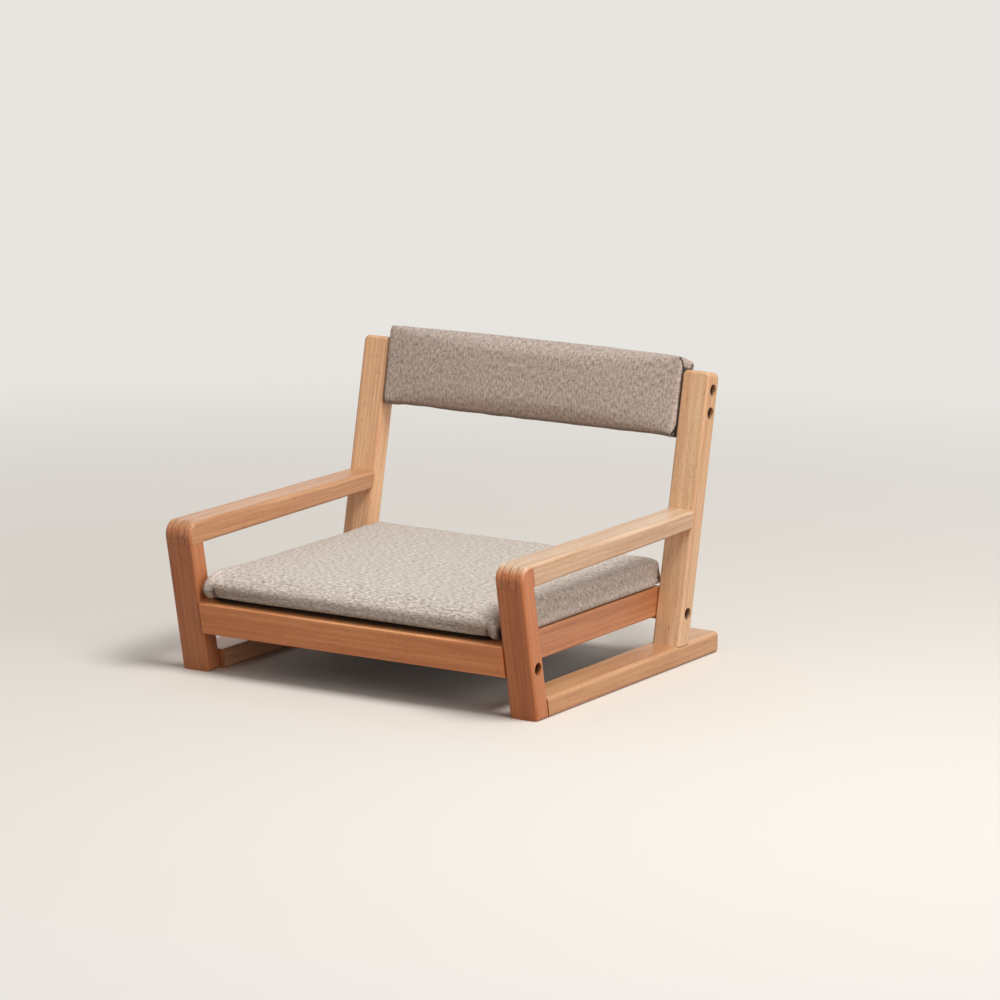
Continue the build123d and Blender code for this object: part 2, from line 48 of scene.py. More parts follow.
# Sizes that the finishes and cushions share with the frame
post_low, post_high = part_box("right_rear_post")
inner_x = post_low.x
outer_x = post_high.x
armrest_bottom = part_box("right_armrest")[0].z
front_lean = radians(13.5)
rear_lean = radians(11.0)
post_back_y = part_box("right_front_post")[1].y
finger_count = 4
finger_width = (outer_x - inner_x) / finger_count


# Node helpers
def add_node(tree, kind, inputs=None, **settings):
    """Adds a node, sets its settings, and links or sets its inputs."""
    made = tree.nodes.new(kind)
    for name, value in settings.items():
        setattr(made, name, value)
    for key, value in (inputs or {}).items():
        if isinstance(value, bpy.types.NodeSocket):
            tree.links.new(value, made.inputs[key])
        else:
            made.inputs[key].default_value = value
    return made


def calc(tree, operation, *values):
    """A math node's result."""
    return add_node(tree, "ShaderNodeMath", dict(enumerate(values)), operation=operation).outputs[0]


def mixed(tree, factor, first, second, blend="MIX"):
    """Two colours mixed by a factor."""
    inputs = {0: factor, 6: first, 7: second}
    return add_node(tree, "ShaderNodeMix", inputs, data_type="RGBA", blend_type=blend).outputs[2]


def stained(tree, base, share, strength, stain):
    """A base colour with a stain laid over it by a share, at a strength."""
    return mixed(tree, calc(tree, "MULTIPLY", share, strength), base, stain)


def noise_of(tree, vector, scale, detail=2.0, roughness=0.5):
    """A noise texture's value."""
    inputs = {"Vector": vector, "Scale": scale, "Detail": detail, "Roughness": roughness}
    return add_node(tree, "ShaderNodeTexNoise", inputs).outputs["Fac"]


def spread(tree, value, low, high):
    """A value stretched so that low gives 0 and high gives 1."""
    inputs = {"Value": value, "From Min": low, "From Max": high}
    return add_node(tree, "ShaderNodeMapRange", inputs).outputs["Result"]


def seen_rays(tree):
    """1 for rays that show a surface to the eye, straight or by a mirror or glass, and 0 for the others."""
    rays = add_node(tree, "ShaderNodeLightPath").outputs
    seen = calc(tree, "MAXIMUM", rays["Is Camera Ray"], rays["Is Glossy Ray"])
    return calc(tree, "MAXIMUM", seen, rays["Is Transmission Ray"])


def shader_blend(tree, factor, first, second):
    """Two shaders' outputs mixed by a factor."""
    return add_node(tree, "ShaderNodeMixShader", {0: factor, 1: first, 2: second}).outputs[0]


def new_material(name):
    """A new node material with its tree and shader."""
    material = bpy.data.materials.new(name)
    material.use_nodes = True
    tree = material.node_tree
    return material, tree, tree.nodes["Principled BSDF"]


def set_bump(tree, shader, height, strength, distance):
    """Raises a shader's surface by a height value."""
    inputs = {"Height": height, "Strength": strength, "Distance": distance}
    tree.links.new(add_node(tree, "ShaderNodeBump", inputs).outputs["Normal"], shader.inputs["Normal"])


def dress(material, *node_names):
    """Gives one material to nodes of the frame."""
    for node_name in node_names:
        nodes[node_name].data.materials.clear()
        nodes[node_name].data.materials.append(material)


def linear(share):
    """A screen value from 0 to 1 as linear light."""
    return share / 12.92 if share <= 0.04045 else ((share + 0.055) / 1.055) ** 2.4


def colour(red, green, blue):
    """A colour written as screen values from 0 to 255."""
    return tuple(linear(value / 255) for value in (red, green, blue)) + (1.0,)


# Wood finish
beech_pale = colour(217, 172, 130)
beech_warm = colour(196, 141, 96)
beech_deep = colour(164, 104, 62)
beech_fleck = colour(120, 70, 38)
joint_dark = colour(84, 44, 22)
joint_half = 0.0004
joint_end_share = 0.5
# Colour of the bolt holes: painted shade deeper in, partly also their end grain
hole_shade_and_end_grain = colour(66, 36, 20)
hole_radius = 0.0075


def corner_parts(tree, place):
    """Which finger a point is on, and how far it is behind the post and above the armrest's underside."""
    parts = add_node(tree, "ShaderNodeSeparateXYZ", {0: place}).outputs
    across = calc(tree, "SUBTRACT", calc(tree, "ABSOLUTE", parts["X"]), inner_x)
    finger = calc(tree, "MAXIMUM", calc(tree, "DIVIDE", across, finger_width), 0.01)
    finger = calc(tree, "MINIMUM", finger, finger_count - 0.01)
    along = calc(tree, "MULTIPLY_ADD", parts["Z"], tan(front_lean), parts["Y"])
    behind = calc(tree, "SUBTRACT", along, post_back_y)
    above = calc(tree, "SUBTRACT", parts["Z"], armrest_bottom)
    return finger, behind, above


def joint_lines(tree, finger, behind, above):
    """A mask of the thin glue lines round the fingers at the front of the armrests."""
    nearest = calc(tree, "ROUND", finger)
    from_middle = calc(tree, "ABSOLUTE", calc(tree, "SUBTRACT", nearest, finger_count / 2))
    between = calc(tree, "LESS_THAN", from_middle, finger_count / 2 - 0.5)
    in_front = calc(tree, "LESS_THAN", behind, joint_half)
    over = calc(tree, "GREATER_THAN", above, -joint_half)
    odd = calc(tree, "MODULO", calc(tree, "FLOOR", finger), 2.0)
    even = calc(tree, "SUBTRACT", 1.0, odd)

    def line(distance, half, *masks):
        found = calc(tree, "LESS_THAN", calc(tree, "ABSOLUTE", distance), half)
        for mask in masks:
            found = calc(tree, "MULTIPLY", found, mask)
        return found

    off_side = calc(tree, "SUBTRACT", finger, nearest)
    sides = line(off_side, joint_half / finger_width, between, in_front, over)
    lower_ends = line(above, joint_half, even, in_front)
    rear_ends = line(behind, joint_half, odd, over)
    ends = calc(tree, "MAXIMUM", lower_ends, rear_ends)
    return calc(tree, "MAXIMUM", sides, calc(tree, "MULTIPLY", ends, joint_end_share))


def hole_shade_mask(tree, place, holes):
    """A mask of the walls of the bolt holes, which open on the outer face, stronger deeper in: painted
    shade, partly also the drilled end grain.
    """
    parts = add_node(tree, "ShaderNodeSeparateXYZ", {0: place}).outputs
    flat = add_node(tree, "ShaderNodeCombineXYZ", {1: parts["Y"], 2: parts["Z"]}).outputs[0]
    nearest = 1.0
    for along, height in holes:
        inputs = {0: flat, 1: (0.0, along, height)}
        gap = add_node(tree, "ShaderNodeVectorMath", inputs, operation="DISTANCE").outputs["Value"]
        nearest = calc(tree, "MINIMUM", nearest, gap)
    in_hole = calc(tree, "LESS_THAN", nearest, hole_radius)
    depth = calc(tree, "SUBTRACT", outer_x, calc(tree, "ABSOLUTE", parts["X"]))
    return calc(tree, "MULTIPLY", in_hole, spread(tree, depth, 0.0002, 0.005))


def beech(name, turn, grain, offset, tone, jointed=None, holes=()):
    """Lacquered beech with its grain along one direction and its own place in the board it was cut from,
    and painted shade in any bolt holes.
    """
    material, tree, shader = new_material(name)
    place = add_node(tree, "ShaderNodeTexCoord").outputs["Object"]
    normal = add_node(tree, "ShaderNodeNewGeometry").outputs["Normal"]

    def stretched(length):
        inputs = {"Vector": place, "Location": offset, "Rotation": turn, "Scale": (1.0, 1.0, length)}
        return add_node(tree, "ShaderNodeMapping", inputs, vector_type="TEXTURE").outputs["Vector"]

    def facing(direction):
        inputs = {0: normal, 1: direction}
        return add_node(tree, "ShaderNodeVectorMath", inputs, operation="DOT_PRODUCT").outputs["Value"]

    broad = noise_of(tree, stretched(7.0), 14.0, 2.0)
    streak = noise_of(tree, stretched(26.0), 110.0, 3.0, 0.6)
    thread = noise_of(tree, stretched(45.0), 620.0, 2.0, 0.6)
    fleck = spread(tree, noise_of(tree, stretched(6.0), 900.0, 1.0), 0.62, 0.72)
    ring_inputs = {"Vector": stretched(9.0), "Scale": 62.0, "Distortion": 2.4,
                   "Detail": 2.0, "Detail Scale": 0.9}
    ring_node = add_node(tree, "ShaderNodeTexWave", ring_inputs, wave_type="RINGS", rings_direction="Z")
    base = mixed(tree, spread(tree, broad, 0.32, 0.68), beech_pale, beech_warm)
    base = stained(tree, base, spread(tree, streak, 0.45, 0.72), 0.6, beech_deep)
    base = stained(tree, base, ring_node.outputs["Fac"], 0.22, beech_deep)
    base = stained(tree, base, spread(tree, thread, 0.4, 0.75), 0.38, beech_deep)
    base = stained(tree, base, fleck, 0.42, beech_fleck)
    end_grain = spread(tree, calc(tree, "ABSOLUTE", facing(grain)), 0.6, 0.95)
    if jointed:
        other_tone, towards = jointed
        finger, behind, above = corner_parts(tree, place)
        before_post = calc(tree, "LESS_THAN", behind, 0.0)
        in_corner = calc(tree, "MULTIPLY", before_post, calc(tree, "GREATER_THAN", above, 0.0))
        sideways = add_node(tree, "ShaderNodeSeparateXYZ", {0: normal}).outputs["X"]
        upright = calc(tree, "SUBTRACT", 1.05, calc(tree, "POWER", calc(tree, "ABSOLUTE", sideways), 2.0))
        turned = calc(tree, "POWER", calc(tree, "MAXIMUM", facing(towards), 0.0), 2.0)
        share = spread(tree, calc(tree, "DIVIDE", turned, upright), 0.12, 0.84)
        tone = mixed(tree, calc(tree, "MULTIPLY", share, in_corner), tone, other_tone)
        end_grain = calc(tree, "MULTIPLY", end_grain, calc(tree, "SUBTRACT", 1.0, in_corner))
    base = stained(tree, base, end_grain, 0.45, beech_deep)
    base = mixed(tree, 1.0, base, tone, "MULTIPLY")
    if jointed:
        base = stained(tree, base, joint_lines(tree, finger, behind, above), 0.8, joint_dark)
    # Painted shade in the bolt holes, darker deeper in, partly also their end grain
    if holes:
        base = stained(tree, base, hole_shade_mask(tree, place, holes), 0.9, hole_shade_and_end_grain)
    tree.links.new(base, shader.inputs["Base Color"])
    tree.links.new(calc(tree, "MULTIPLY_ADD", thread, 0.14, 0.34), shader.inputs["Roughness"])
    set_bump(tree, shader, calc(tree, "MULTIPLY_ADD", fleck, -0.8, thread), 0.12, 0.0006)
    shader.inputs["Coat Weight"].default_value = 0.12
    shader.inputs["Coat Roughness"].default_value = 0.3
    return material


# Ways that grain runs, each as a turn and a direction
upright_front = ((front_lean, 0, 0), (0, -sin(front_lean), cos(front_lean)))
upright_rear = ((-rear_lean, 0, 0), (0, sin(rear_lean), cos(rear_lean)))
lengthwise = ((radians(-90), 0, 0), (0, 1, 0))
crosswise = ((0, radians(90), 0), (1, 0, 0))

# Centres of the bolt holes along Y and Z, the ways that jointed ends face, and tones that meet at joints
rear_holes = ((0.1967, 0.29125), (0.20186, 0.31775), (0.15179, 0.06017))
front_holes = ((-0.19806, 0.06078),)
forward = (0, -1, 0)
skyward = (0, 0, 1)
# Tones are partly the wood's own and partly painted light: the right armrest and rear posts paler for
# painted sheen, the front rail paler for painted light, the front posts and side rails deeper for painted
# shade
right_arm_tone_and_sheen = (1.12, 1.47, 1.98, 1)
left_arm_tone = (0.93, 0.89, 0.87, 1)
right_post_tone = (0.93, 0.63, 0.48, 1)
left_post_tone = (0.92, 0.67, 0.56, 1)

# Each wood piece: its grain, its place in the board, its tone, and any joint and holes
wood_pieces = {
    "right_runner": (lengthwise, (0.31, 0.4, 0.09), (1.0, 1.02, 1.02, 1)),
    "left_runner": (lengthwise, (-0.35, -0.2, -0.07), (0.99, 0.97, 0.95, 1)),
    "right_armrest": (lengthwise, (0.29, -0.3, 0.26), right_arm_tone_and_sheen, (right_post_tone, forward)),
    "left_armrest": (lengthwise, (-0.17, 0.1, 0.29), left_arm_tone, (left_post_tone, forward)),
    "right_front_post": (upright_front, (0.31, -0.26, 0.5), right_post_tone,
                         (right_arm_tone_and_sheen, skyward), front_holes),
    "left_front_post": (upright_front, (-0.33, -0.12, 0.2), left_post_tone,
                        (left_arm_tone, skyward), front_holes),
    "right_rear_post": (upright_rear, (0.17, 0.25, 0.1), (1.25, 1.51, 1.78, 1), None, rear_holes),
    "left_rear_post": (upright_rear, (-0.3, 0.09, -0.4), (1.33, 1.43, 1.55, 1), None, rear_holes),
    "right_side_rail": (lengthwise, (0.12, 0.2, 0.15), (0.88, 0.66, 0.56, 1)),
    "left_side_rail": (lengthwise, (-0.26, 0.3, 0.01), (0.9, 0.72, 0.64, 1)),
    "front_rail": (crosswise, (0.3, -0.29, 0.11), (1.36, 1.1, 0.93, 1)),
    "rear_rail": (crosswise, (-0.2, 0.2, 0.13), (1.0, 0.8, 0.7, 1)),
    "corner_blocks": (crosswise, (0.4, 0.1, 0.15), (1.0, 0.96, 0.92, 1)),
}
for node_name, ((turn, grain), offset, tone, *joint_and_holes) in wood_pieces.items():
    dress(beech("beech_" + node_name, turn, grain, offset, tone, *joint_and_holes), node_name)
dress(beech("beech_dowels", *crosswise, (0.1, 0.0, 0.2), (1.04, 1.0, 0.96, 1)),
      "armrest_dowels", "rear_post_dowels", "front_post_dowels", "rail_dowels", "side_rail_dowels")


# Plywood, lining and steel finishes
def plywood():
    """Board with thin crossed plies that show on its edges."""
    material, tree, shader = new_material("plywood")
    place = add_node(tree, "ShaderNodeTexCoord").outputs["Object"]
    ply_inputs = {"Vector": place, "Scale": 170.0, "Distortion": 0.6}
    ply_node = add_node(tree, "ShaderNodeTexWave", ply_inputs, wave_type="BANDS", bands_direction="Z")
    drawn_inputs = {"Vector": place, "Scale": (1.0, 20.0, 20.0)}
    drawn_out = add_node(tree, "ShaderNodeMapping", drawn_inputs).outputs["Vector"]
    face = noise_of(tree, drawn_out, 12.0, 3.0)
    base = mixed(tree, face, colour(214, 184, 146), colour(186, 148, 108))
    base = stained(tree, base, ply_node.outputs["Fac"], 0.4, colour(140, 100, 66))
    tree.links.new(base, shader.inputs["Base Color"])
    shader.inputs["Roughness"].default_value = 0.7
    return material


def black_lining():
    """Thin black felted lining with a fine fibrous surface."""
    material, tree, shader = new_material("black_lining")
    place = add_node(tree, "ShaderNodeTexCoord").outputs["Object"]
    fibre = noise_of(tree, place, 1400.0, 4.0, 0.7)
    patch = noise_of(tree, place, 60.0, 2.0)
    base = mixed(tree, fibre, colour(16, 11, 8), colour(40, 31, 26))
    base = stained(tree, base, patch, 0.3, colour(20, 15, 12))
    tree.links.new(base, shader.inputs["Base Color"])
    shader.inputs["Roughness"].default_value = 0.95
    shader.inputs["Specular IOR Level"].default_value = 0.15
    set_bump(tree, shader, fibre, 0.3, 0.0004)
    return material


def zinc_steel():
    """Zinc-plated steel with a faint mottle."""
    material, tree, shader = new_material("zinc_steel")
    place = add_node(tree, "ShaderNodeTexCoord").outputs["Object"]
    mottle = noise_of(tree, place, 420.0, 3.0, 0.6)
    base = mixed(tree, mottle, colour(150, 148, 142), colour(196, 194, 188))
    tree.links.new(base, shader.inputs["Base Color"])
    tree.links.new(calc(tree, "MULTIPLY_ADD", mottle, 0.22, 0.26), shader.inputs["Roughness"])
    shader.inputs["Metallic"].default_value = 1.0
    return material


dress(plywood(), "seat_board", "back_board")
dress(black_lining(), "seat_lining")
dress(zinc_steel(),
      "rail_bolts", "back_bolts", "bolt_washers", "barrel_nuts", "back_inserts", "seat_screws")

# Linen finish
linen_pale = colour(240, 233, 225)
linen_mid = colour(212, 202, 193)
linen_dark = colour(150, 133, 122)
# Painted shade colour, laid where a cushion marks its folds, seams and shaded edges
linen_shade_colour = colour(40, 30, 26)
thread_pitch = 0.0013
stroke_width = 0.0012
strokes_per_width = 0.6
warp_stroke_length = 0.0034
weft_stroke_length = 0.0035


def linen(name, tint, across_share):
    """Heathered greige linen: short soft strokes of uneven colour over crossed, slightly raised threads,
    tinted, and darkened by painted shade where a cushion marks it.
    """
    material, tree, shader = new_material(name)
    place = add_node(tree, "ShaderNodeTexCoord").outputs["Object"]
    normal = add_node(tree, "ShaderNodeNewGeometry").outputs["Normal"]
    facing = add_node(tree, "ShaderNodeSeparateXYZ", {0: normal}).outputs
    parts = add_node(tree, "ShaderNodeSeparateXYZ", {0: place}).outputs
    sideways = calc(tree, "GREATER_THAN", calc(tree, "ABSOLUTE", facing["X"]), 0.72)
    frontways = calc(tree, "GREATER_THAN", calc(tree, "ABSOLUTE", facing["Y"]), 0.72)

    def chosen(mask, first, second):
        return add_node(tree, "ShaderNodeMix", {0: mask, 2: first, 3: second}, data_type="FLOAT").outputs[0]

    def strokes(across, along, length):
        shortened = calc(tree, "DIVIDE", along, length / stroke_width)
        vector = add_node(tree, "ShaderNodeCombineXYZ", {0: across, 1: shortened}).outputs[0]
        return noise_of(tree, vector, strokes_per_width / stroke_width, 3.0, 0.6)

    def wave(across):
        return calc(tree, "SINE", calc(tree, "MULTIPLY", across, 2 * pi / thread_pitch))

    warp = chosen(sideways, parts["X"], parts["Z"])
    weft = chosen(frontways, parts["Y"], parts["Z"])
    warp_tone = strokes(warp, weft, warp_stroke_length)
    weft_tone = strokes(weft, warp, weft_stroke_length)
    tone = chosen(across_share, warp_tone, weft_tone)
    cloud = noise_of(tree, place, 24.0, 3.0)
    base = mixed(tree, spread(tree, tone, 0.38, 0.62), linen_dark, linen_pale)
    base = mixed(tree, calc(tree, "MULTIPLY_ADD", cloud, 0.3, 0.1), base, linen_mid)
    base = mixed(tree, 1.0, base, tint, "MULTIPLY")
    # Painted shade: the colour goes dark where the cushion marks it
    painted_shade = add_node(tree, "ShaderNodeAttribute", attribute_name="painted_shade").outputs["Fac"]
    base = mixed(tree, painted_shade, base, linen_shade_colour)
    tree.links.new(base, shader.inputs["Base Color"])
    shader.inputs["Roughness"].default_value = 0.92
    shader.inputs["Sheen Weight"].default_value = 0.1
    shader.inputs["Sheen Tint"].default_value = (0.9, 0.8, 0.7, 1.0)
    shader.inputs["Sheen Roughness"].default_value = 0.5
    weave = calc(tree, "MULTIPLY", wave(warp), wave(weft))
    set_bump(tree, shader, calc(tree, "MULTIPLY_ADD", tone, 3.0, weave), 0.4, 0.0004)
    return material


# Cushion building
def places_along(half, step, close=(0.0,)):
    """Places from one end to the other: some close to each end, then even steps between."""
    inside = half - close[-1]
    middle = np.linspace(-inside, inside, max(2, round(2 * inside / step)) + 1)
    ends = np.array([distance - half for distance in close[:-1]])
    return np.concatenate([ends, middle, -ends[::-1]])


def block_grid(places):
    """A closed block of four-sided faces, divided at the given places along x, y and z."""
    shell = bmesh.new()
    for axis in range(3):
        first, second = (axis + 1) % 3, (axis + 2) % 3
        for end in (0, -1):
            rows = []
            for one in places[first]:
                row = []
                for two in places[second]:
                    point = [0.0, 0.0, 0.0]
                    point[axis], point[first], point[second] = places[axis][end], one, two
                    row.append(shell.verts.new(point))
                rows.append(row)
            for i in range(len(rows) - 1):
                for j in range(len(rows[0]) - 1):
                    corners = [rows[i][j], rows[i + 1][j], rows[i + 1][j + 1], rows[i][j + 1]]
                    shell.faces.new(corners if end else corners[::-1])
    bmesh.ops.remove_doubles(shell, verts=shell.verts, dist=1e-5)
    return shell


def rounded(points, half, rounds):
    """Points on a block moved in to round its edges by the given amounts along x, y and z at each point."""
    inner = np.clip(points, rounds - half, half - rounds)
    out = (points - inner) / rounds
    length = np.linalg.norm(out, axis=1, keepdims=True)
    return inner + out / np.maximum(length, 1e-9) * rounds


def place_points(mesh, points):
    """Puts a mesh's points in new places."""
    mesh.vertices.foreach_set("co", points.astype(np.float32).ravel())
    mesh.update()


def new_piece(name, shell, points):
    """A mesh object from a shell with its points moved to their places."""
    mesh = bpy.data.meshes.new(name)
    shell.to_mesh(mesh)
    shell.free()
    place_points(mesh, points)
    piece = bpy.data.objects.new(name, mesh)
    scene.collection.objects.link(piece)
    return piece


def points_of(mesh):
    """A mesh's points as an array."""
    flat = np.zeros(len(mesh.vertices) * 3, np.float32)
    mesh.vertices.foreach_get("co", flat)
    return flat.reshape(-1, 3).astype(float)


def normals_of(mesh):
    """A mesh's point normals as an array."""
    return np.array([vertex.normal[:] for vertex in mesh.vertices])


def shell_points(shell):
    """A shell's points as an array."""
    return np.array([vertex.co[:] for vertex in shell.verts])


def padded_out(piece, held, pressure, cap, frames=20):
    """Swells a closed piece as cloth under pressure, with some points held and each point's move capped."""
    before = points_of(piece.data)
    group = piece.vertex_groups.new(name="held")
    group.add([int(index) for index in np.nonzero(held)[0]], 1.0, "REPLACE")
    cloth = piece.modifiers.new("cloth", "CLOTH")
    cloth.settings.quality = 5
    cloth.settings.mass = 0.3
    cloth.settings.tension_stiffness = 20
    cloth.settings.compression_stiffness = 20
    cloth.settings.shear_stiffness = 8
    cloth.settings.bending_stiffness = 0.8
    cloth.settings.use_pressure = True
    cloth.settings.uniform_pressure_force = pressure
    cloth.settings.vertex_group_mass = "held"
    cloth.settings.effector_weights.gravity = 0
    cloth.point_cache.frame_start = 1
    cloth.point_cache.frame_end = frames
    for step in range(1, frames + 1):
        scene.frame_set(step)
    swollen = piece.evaluated_get(bpy.context.evaluated_depsgraph_get())
    after = points_of(swollen.to_mesh())
    swollen.to_mesh_clear()
    piece.modifiers.remove(cloth)
    piece.vertex_groups.remove(group)
    scene.frame_set(1)
    move = after - before
    length = np.linalg.norm(move, axis=1, keepdims=True)
    move *= np.minimum(1.0, cap / np.maximum(length, 1e-9))
    place_points(piece.data, before + move)


def subdivided(piece):
    """Applies one smooth subdivision and shades the piece smooth."""
    bpy.context.view_layer.objects.active = piece
    modifier = piece.modifiers.new("smooth", "SUBSURF")
    modifier.levels = 1
    with bpy.context.temp_override(object=piece, active_object=piece, selected_objects=[piece]):
        bpy.ops.object.modifier_apply(modifier=modifier.name)
    piece.data.polygons.foreach_set("use_smooth", [True] * len(piece.data.polygons))
    piece.data.update()


def unevenness(points, size, seed):
    """Soft noise from -1 to 1 at the points, with bumps of about a given size."""
    shift = Vector((seed, 2 * seed, -seed))
    return np.array([noise.noise(Vector(point / size) + shift) for point in points])


def bell(distance, width):
    """A smooth hump: 1 at no distance, nearly 0 past twice its width."""
    return np.exp(-((distance / width) ** 2))


def smooth_step(value):
    """Eases a value from 0 to 1."""
    held = np.clip(value, 0, 1)
    return held * held * (3 - 2 * held)


def ramp(value, start, length):
    """Eases from 0 to 1 over a length that begins at a start."""
    return smooth_step((value - start) / length)


def part_way(first, last, share):
    """A value part of the way from a first one to a last one."""
    return first + (last - first) * share


def softness(points, layers):
    """Soft unevenness from layers of bumps, each with a height, a size and a seed."""
    return sum(height * unevenness(points, size, seed) for height, size, seed in layers)


def mark_painted_shade(piece, painted_shade):
    """Marks how much painted shade each point of a piece gets, in its folds and at its shaded edges."""
    marks = piece.data.attributes.new("painted_shade", "FLOAT", "POINT")
    marks.data.foreach_set("value", np.clip(painted_shade, 0, 1).astype(np.float32))


# Seat cushion: a crowned pad, drawn in between its corners, with a soft front roll and tucked corners
seat_low, seat_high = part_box("seat_cover")
seat_rear_reach = 0.0050
seat_side_reach = 0.0003
seat_half_height = 0.0138
seat_rear = seat_high.y + seat_rear_reach
seat_half = np.array([seat_high.x + seat_side_reach, (seat_rear - seat_low.y) / 2, seat_half_height])
seat_centre = np.array([0.0, (seat_rear + seat_low.y) / 2, seat_low.z + seat_half_height])
seat_step = 0.0052
seat_height_step = 0.0035
seat_side_places = (0.0, 0.003, 0.006, 0.009, 0.012, 0.0155, 0.019, 0.023)
seat_end_places = (0.0, 0.003, 0.006, 0.010, 0.0145)
seat_crown = 0.0088
seat_draw_in = 0.0012
seat_held_height = 0.0015
seat_pressure = 2.0
seat_swell = 0.003

# Its edge rounds: low down, then high up in front and at the rear, or only low down and high up
side_round = (0.0040, 0.0100, 0.0050)
height_round = (0.0045, 0.0120, 0.0070)
front_round = (0.0150, 0.0250)
rear_round = (0.0035, 0.0045)
roll_round = (0.0060, 0.0015)

# Its bumps as height, size and seed, and the pleats round each corner as height, angle and width in degrees
seat_bumps = ((0.0006, 0.05, 3.1), (0.00025, 0.017, 7.7))
corner_pleats = ((0.0018, 62, 13), (-0.0016, 38, 8), (-0.0012, 82, 7))
hollow_narrowing = 1
corner_reach_x = 0.014
corner_reach_y = 0.016

# Its low edges, front tucks and shades
seat_side_limit = inner_x - 0.0007
seat_overhang = 0.0042
seat_droop = 0.0017
overhang_front = -0.190
overhang_rear = 0.142
front_band_depth = 0.018
tuck_x = 0.189
tuck_width = 0.0040
tuck_out = 0.0018
tuck_down = 0.0016
groove_from_tuck = 0.0075
groove_width = 0.0022
groove_depth = 0.0013
hollow_shade = 0.2
groove_shade = 0.5
front_shade = 0.36
side_shade = 0.08
side_edge_shade = 0.3
side_edge_width = 0.0025

seat_shell = block_grid([places_along(seat_half[0], seat_step, seat_side_places),
                         places_along(seat_half[1], seat_step, seat_end_places),
                         places_along(seat_half[2], seat_height_step)])
seat_points = shell_points(seat_shell)
high = ramp(seat_points[:, 2] / seat_half[2], -1, 2)
toward_rear = ramp(seat_points[:, 1] / seat_half[1], -1, 2)
toward_front = ramp(-seat_points[:, 1] / seat_half[1], 0.82, 0.14)
side_rounds = part_way(side_round[0], part_way(side_round[1], side_round[2], toward_rear), high)
height_rounds = part_way(height_round[0], part_way(height_round[1], height_round[2], toward_rear), high)
height_rounds += toward_front * part_way(*roll_round, high)
end_rounds = np.where(seat_points[:, 1] < 0, part_way(*front_round, high), part_way(*rear_round, high))
seat_points = rounded(seat_points, seat_half, np.stack([side_rounds, end_rounds, height_rounds], axis=1))
share_x = np.minimum(np.abs(seat_points[:, 0]) / seat_half[0], 1)
share_y = np.minimum(np.abs(seat_points[:, 1]) / seat_half[1], 1)
lift = ramp(seat_points[:, 2], -0.004, 0.016)
seat_points[:, 2] += seat_crown * (1 - share_x ** 3.4) * (1 - share_y ** 3.2) * lift
seat_points[:, 0] -= np.sign(seat_points[:, 0]) * seat_draw_in * share_x ** 6 * (1 - share_y ** 2)
seat_points[:, 1] -= np.sign(seat_points[:, 1]) * seat_draw_in * share_y ** 6 * (1 - share_x ** 2)
seat_points += seat_centre
seat_pad = new_piece("seat_pad", seat_shell, seat_points)
padded_out(seat_pad, seat_points[:, 2] < seat_low.z + seat_held_height, seat_pressure, seat_swell)
subdivided(seat_pad)

# Softness and pleated corners of the seat cushion
seat_points = points_of(seat_pad.data)
seat_normals = normals_of(seat_pad.data)
free = ramp(seat_points[:, 2] - seat_low.z, 0.001, 0.006)
seat_points += seat_normals * (softness(seat_points, seat_bumps) * free)[:, None]
corner_x = np.abs(seat_points[:, 0]) - (seat_half[0] - corner_reach_x)
corner_y = np.abs(seat_points[:, 1] - seat_centre[1]) - (seat_half[1] - corner_reach_y)
turned = np.degrees(np.arctan2(corner_y, corner_x))
at_corner = ramp(np.minimum(corner_x, corner_y), 0, 0.006) * free
low_down = 1 - ramp(seat_points[:, 2] - seat_low.z, 0.006, 0.014)
pleat = sum(rise * bell(turned - angle, width) for rise, angle, width in corner_pleats)
outward = seat_normals * np.array([1, 1, 0])
seat_points += outward * (pleat * at_corner * low_down)[:, None]

# Low edges of the seat cushion: bulged out between the posts, and let down at the sides and rear
low_side = 1 - ramp(seat_points[:, 2] - seat_low.z, 0.006, 0.018)
clear_of_posts = ramp(seat_points[:, 1], overhang_front, 0.012)
clear_of_posts *= ramp(overhang_rear - seat_points[:, 1], 0, 0.012)
at_side = ramp(np.abs(seat_points[:, 0]) - seat_half[0], -0.014, 0.011)
seat_points[:, 0] = np.clip(seat_points[:, 0], -seat_side_limit, seat_side_limit)
seat_points[:, 0] += np.sign(seat_points[:, 0]) * seat_overhang * at_side * clear_of_posts * low_side
at_rear = ramp(seat_points[:, 1] - seat_rear, -0.011, 0.007)
lowest = 1 - ramp(seat_points[:, 2] - seat_low.z, 0, 0.012)
seat_points[:, 2] -= seat_droop * np.maximum(at_side, at_rear) * lowest

# Front tucks of the seat cushion, with a groove on each side, and painted shade in its folds, on its low
# front band, on its sides and along their low edges
at_front_low = ramp(seat_low.y + front_band_depth - seat_points[:, 1], 0, 0.008)
at_front_low *= 1 - ramp(seat_points[:, 2] - seat_low.z, 0.008, 0.009)
from_tuck = np.abs(np.abs(seat_points[:, 0]) - tuck_x)
tuck = bell(from_tuck, tuck_width) * at_front_low
groove = bell(from_tuck - groove_from_tuck, groove_width) * at_front_low
seat_points[:, 1] -= tuck_out * tuck - groove_depth * groove
seat_points[:, 2] -= tuck_down * tuck
hollows = sum(bell(turned - angle, width - hollow_narrowing)
              for rise, angle, width in corner_pleats if rise < 0)
side_edge = bell(seat_points[:, 2] - seat_low.z, side_edge_width)
# Painted shade: darker in the pleat hollows and grooves, on the low front band, on the sides and along
# their low edges
seat_painted_shade = hollow_shade * at_corner * low_down * hollows + groove_shade * groove
seat_painted_shade += front_shade * at_front_low + side_shade * at_side + side_edge_shade * at_side * side_edge
place_points(seat_pad.data, seat_points)
mark_painted_shade(seat_pad, seat_painted_shade)

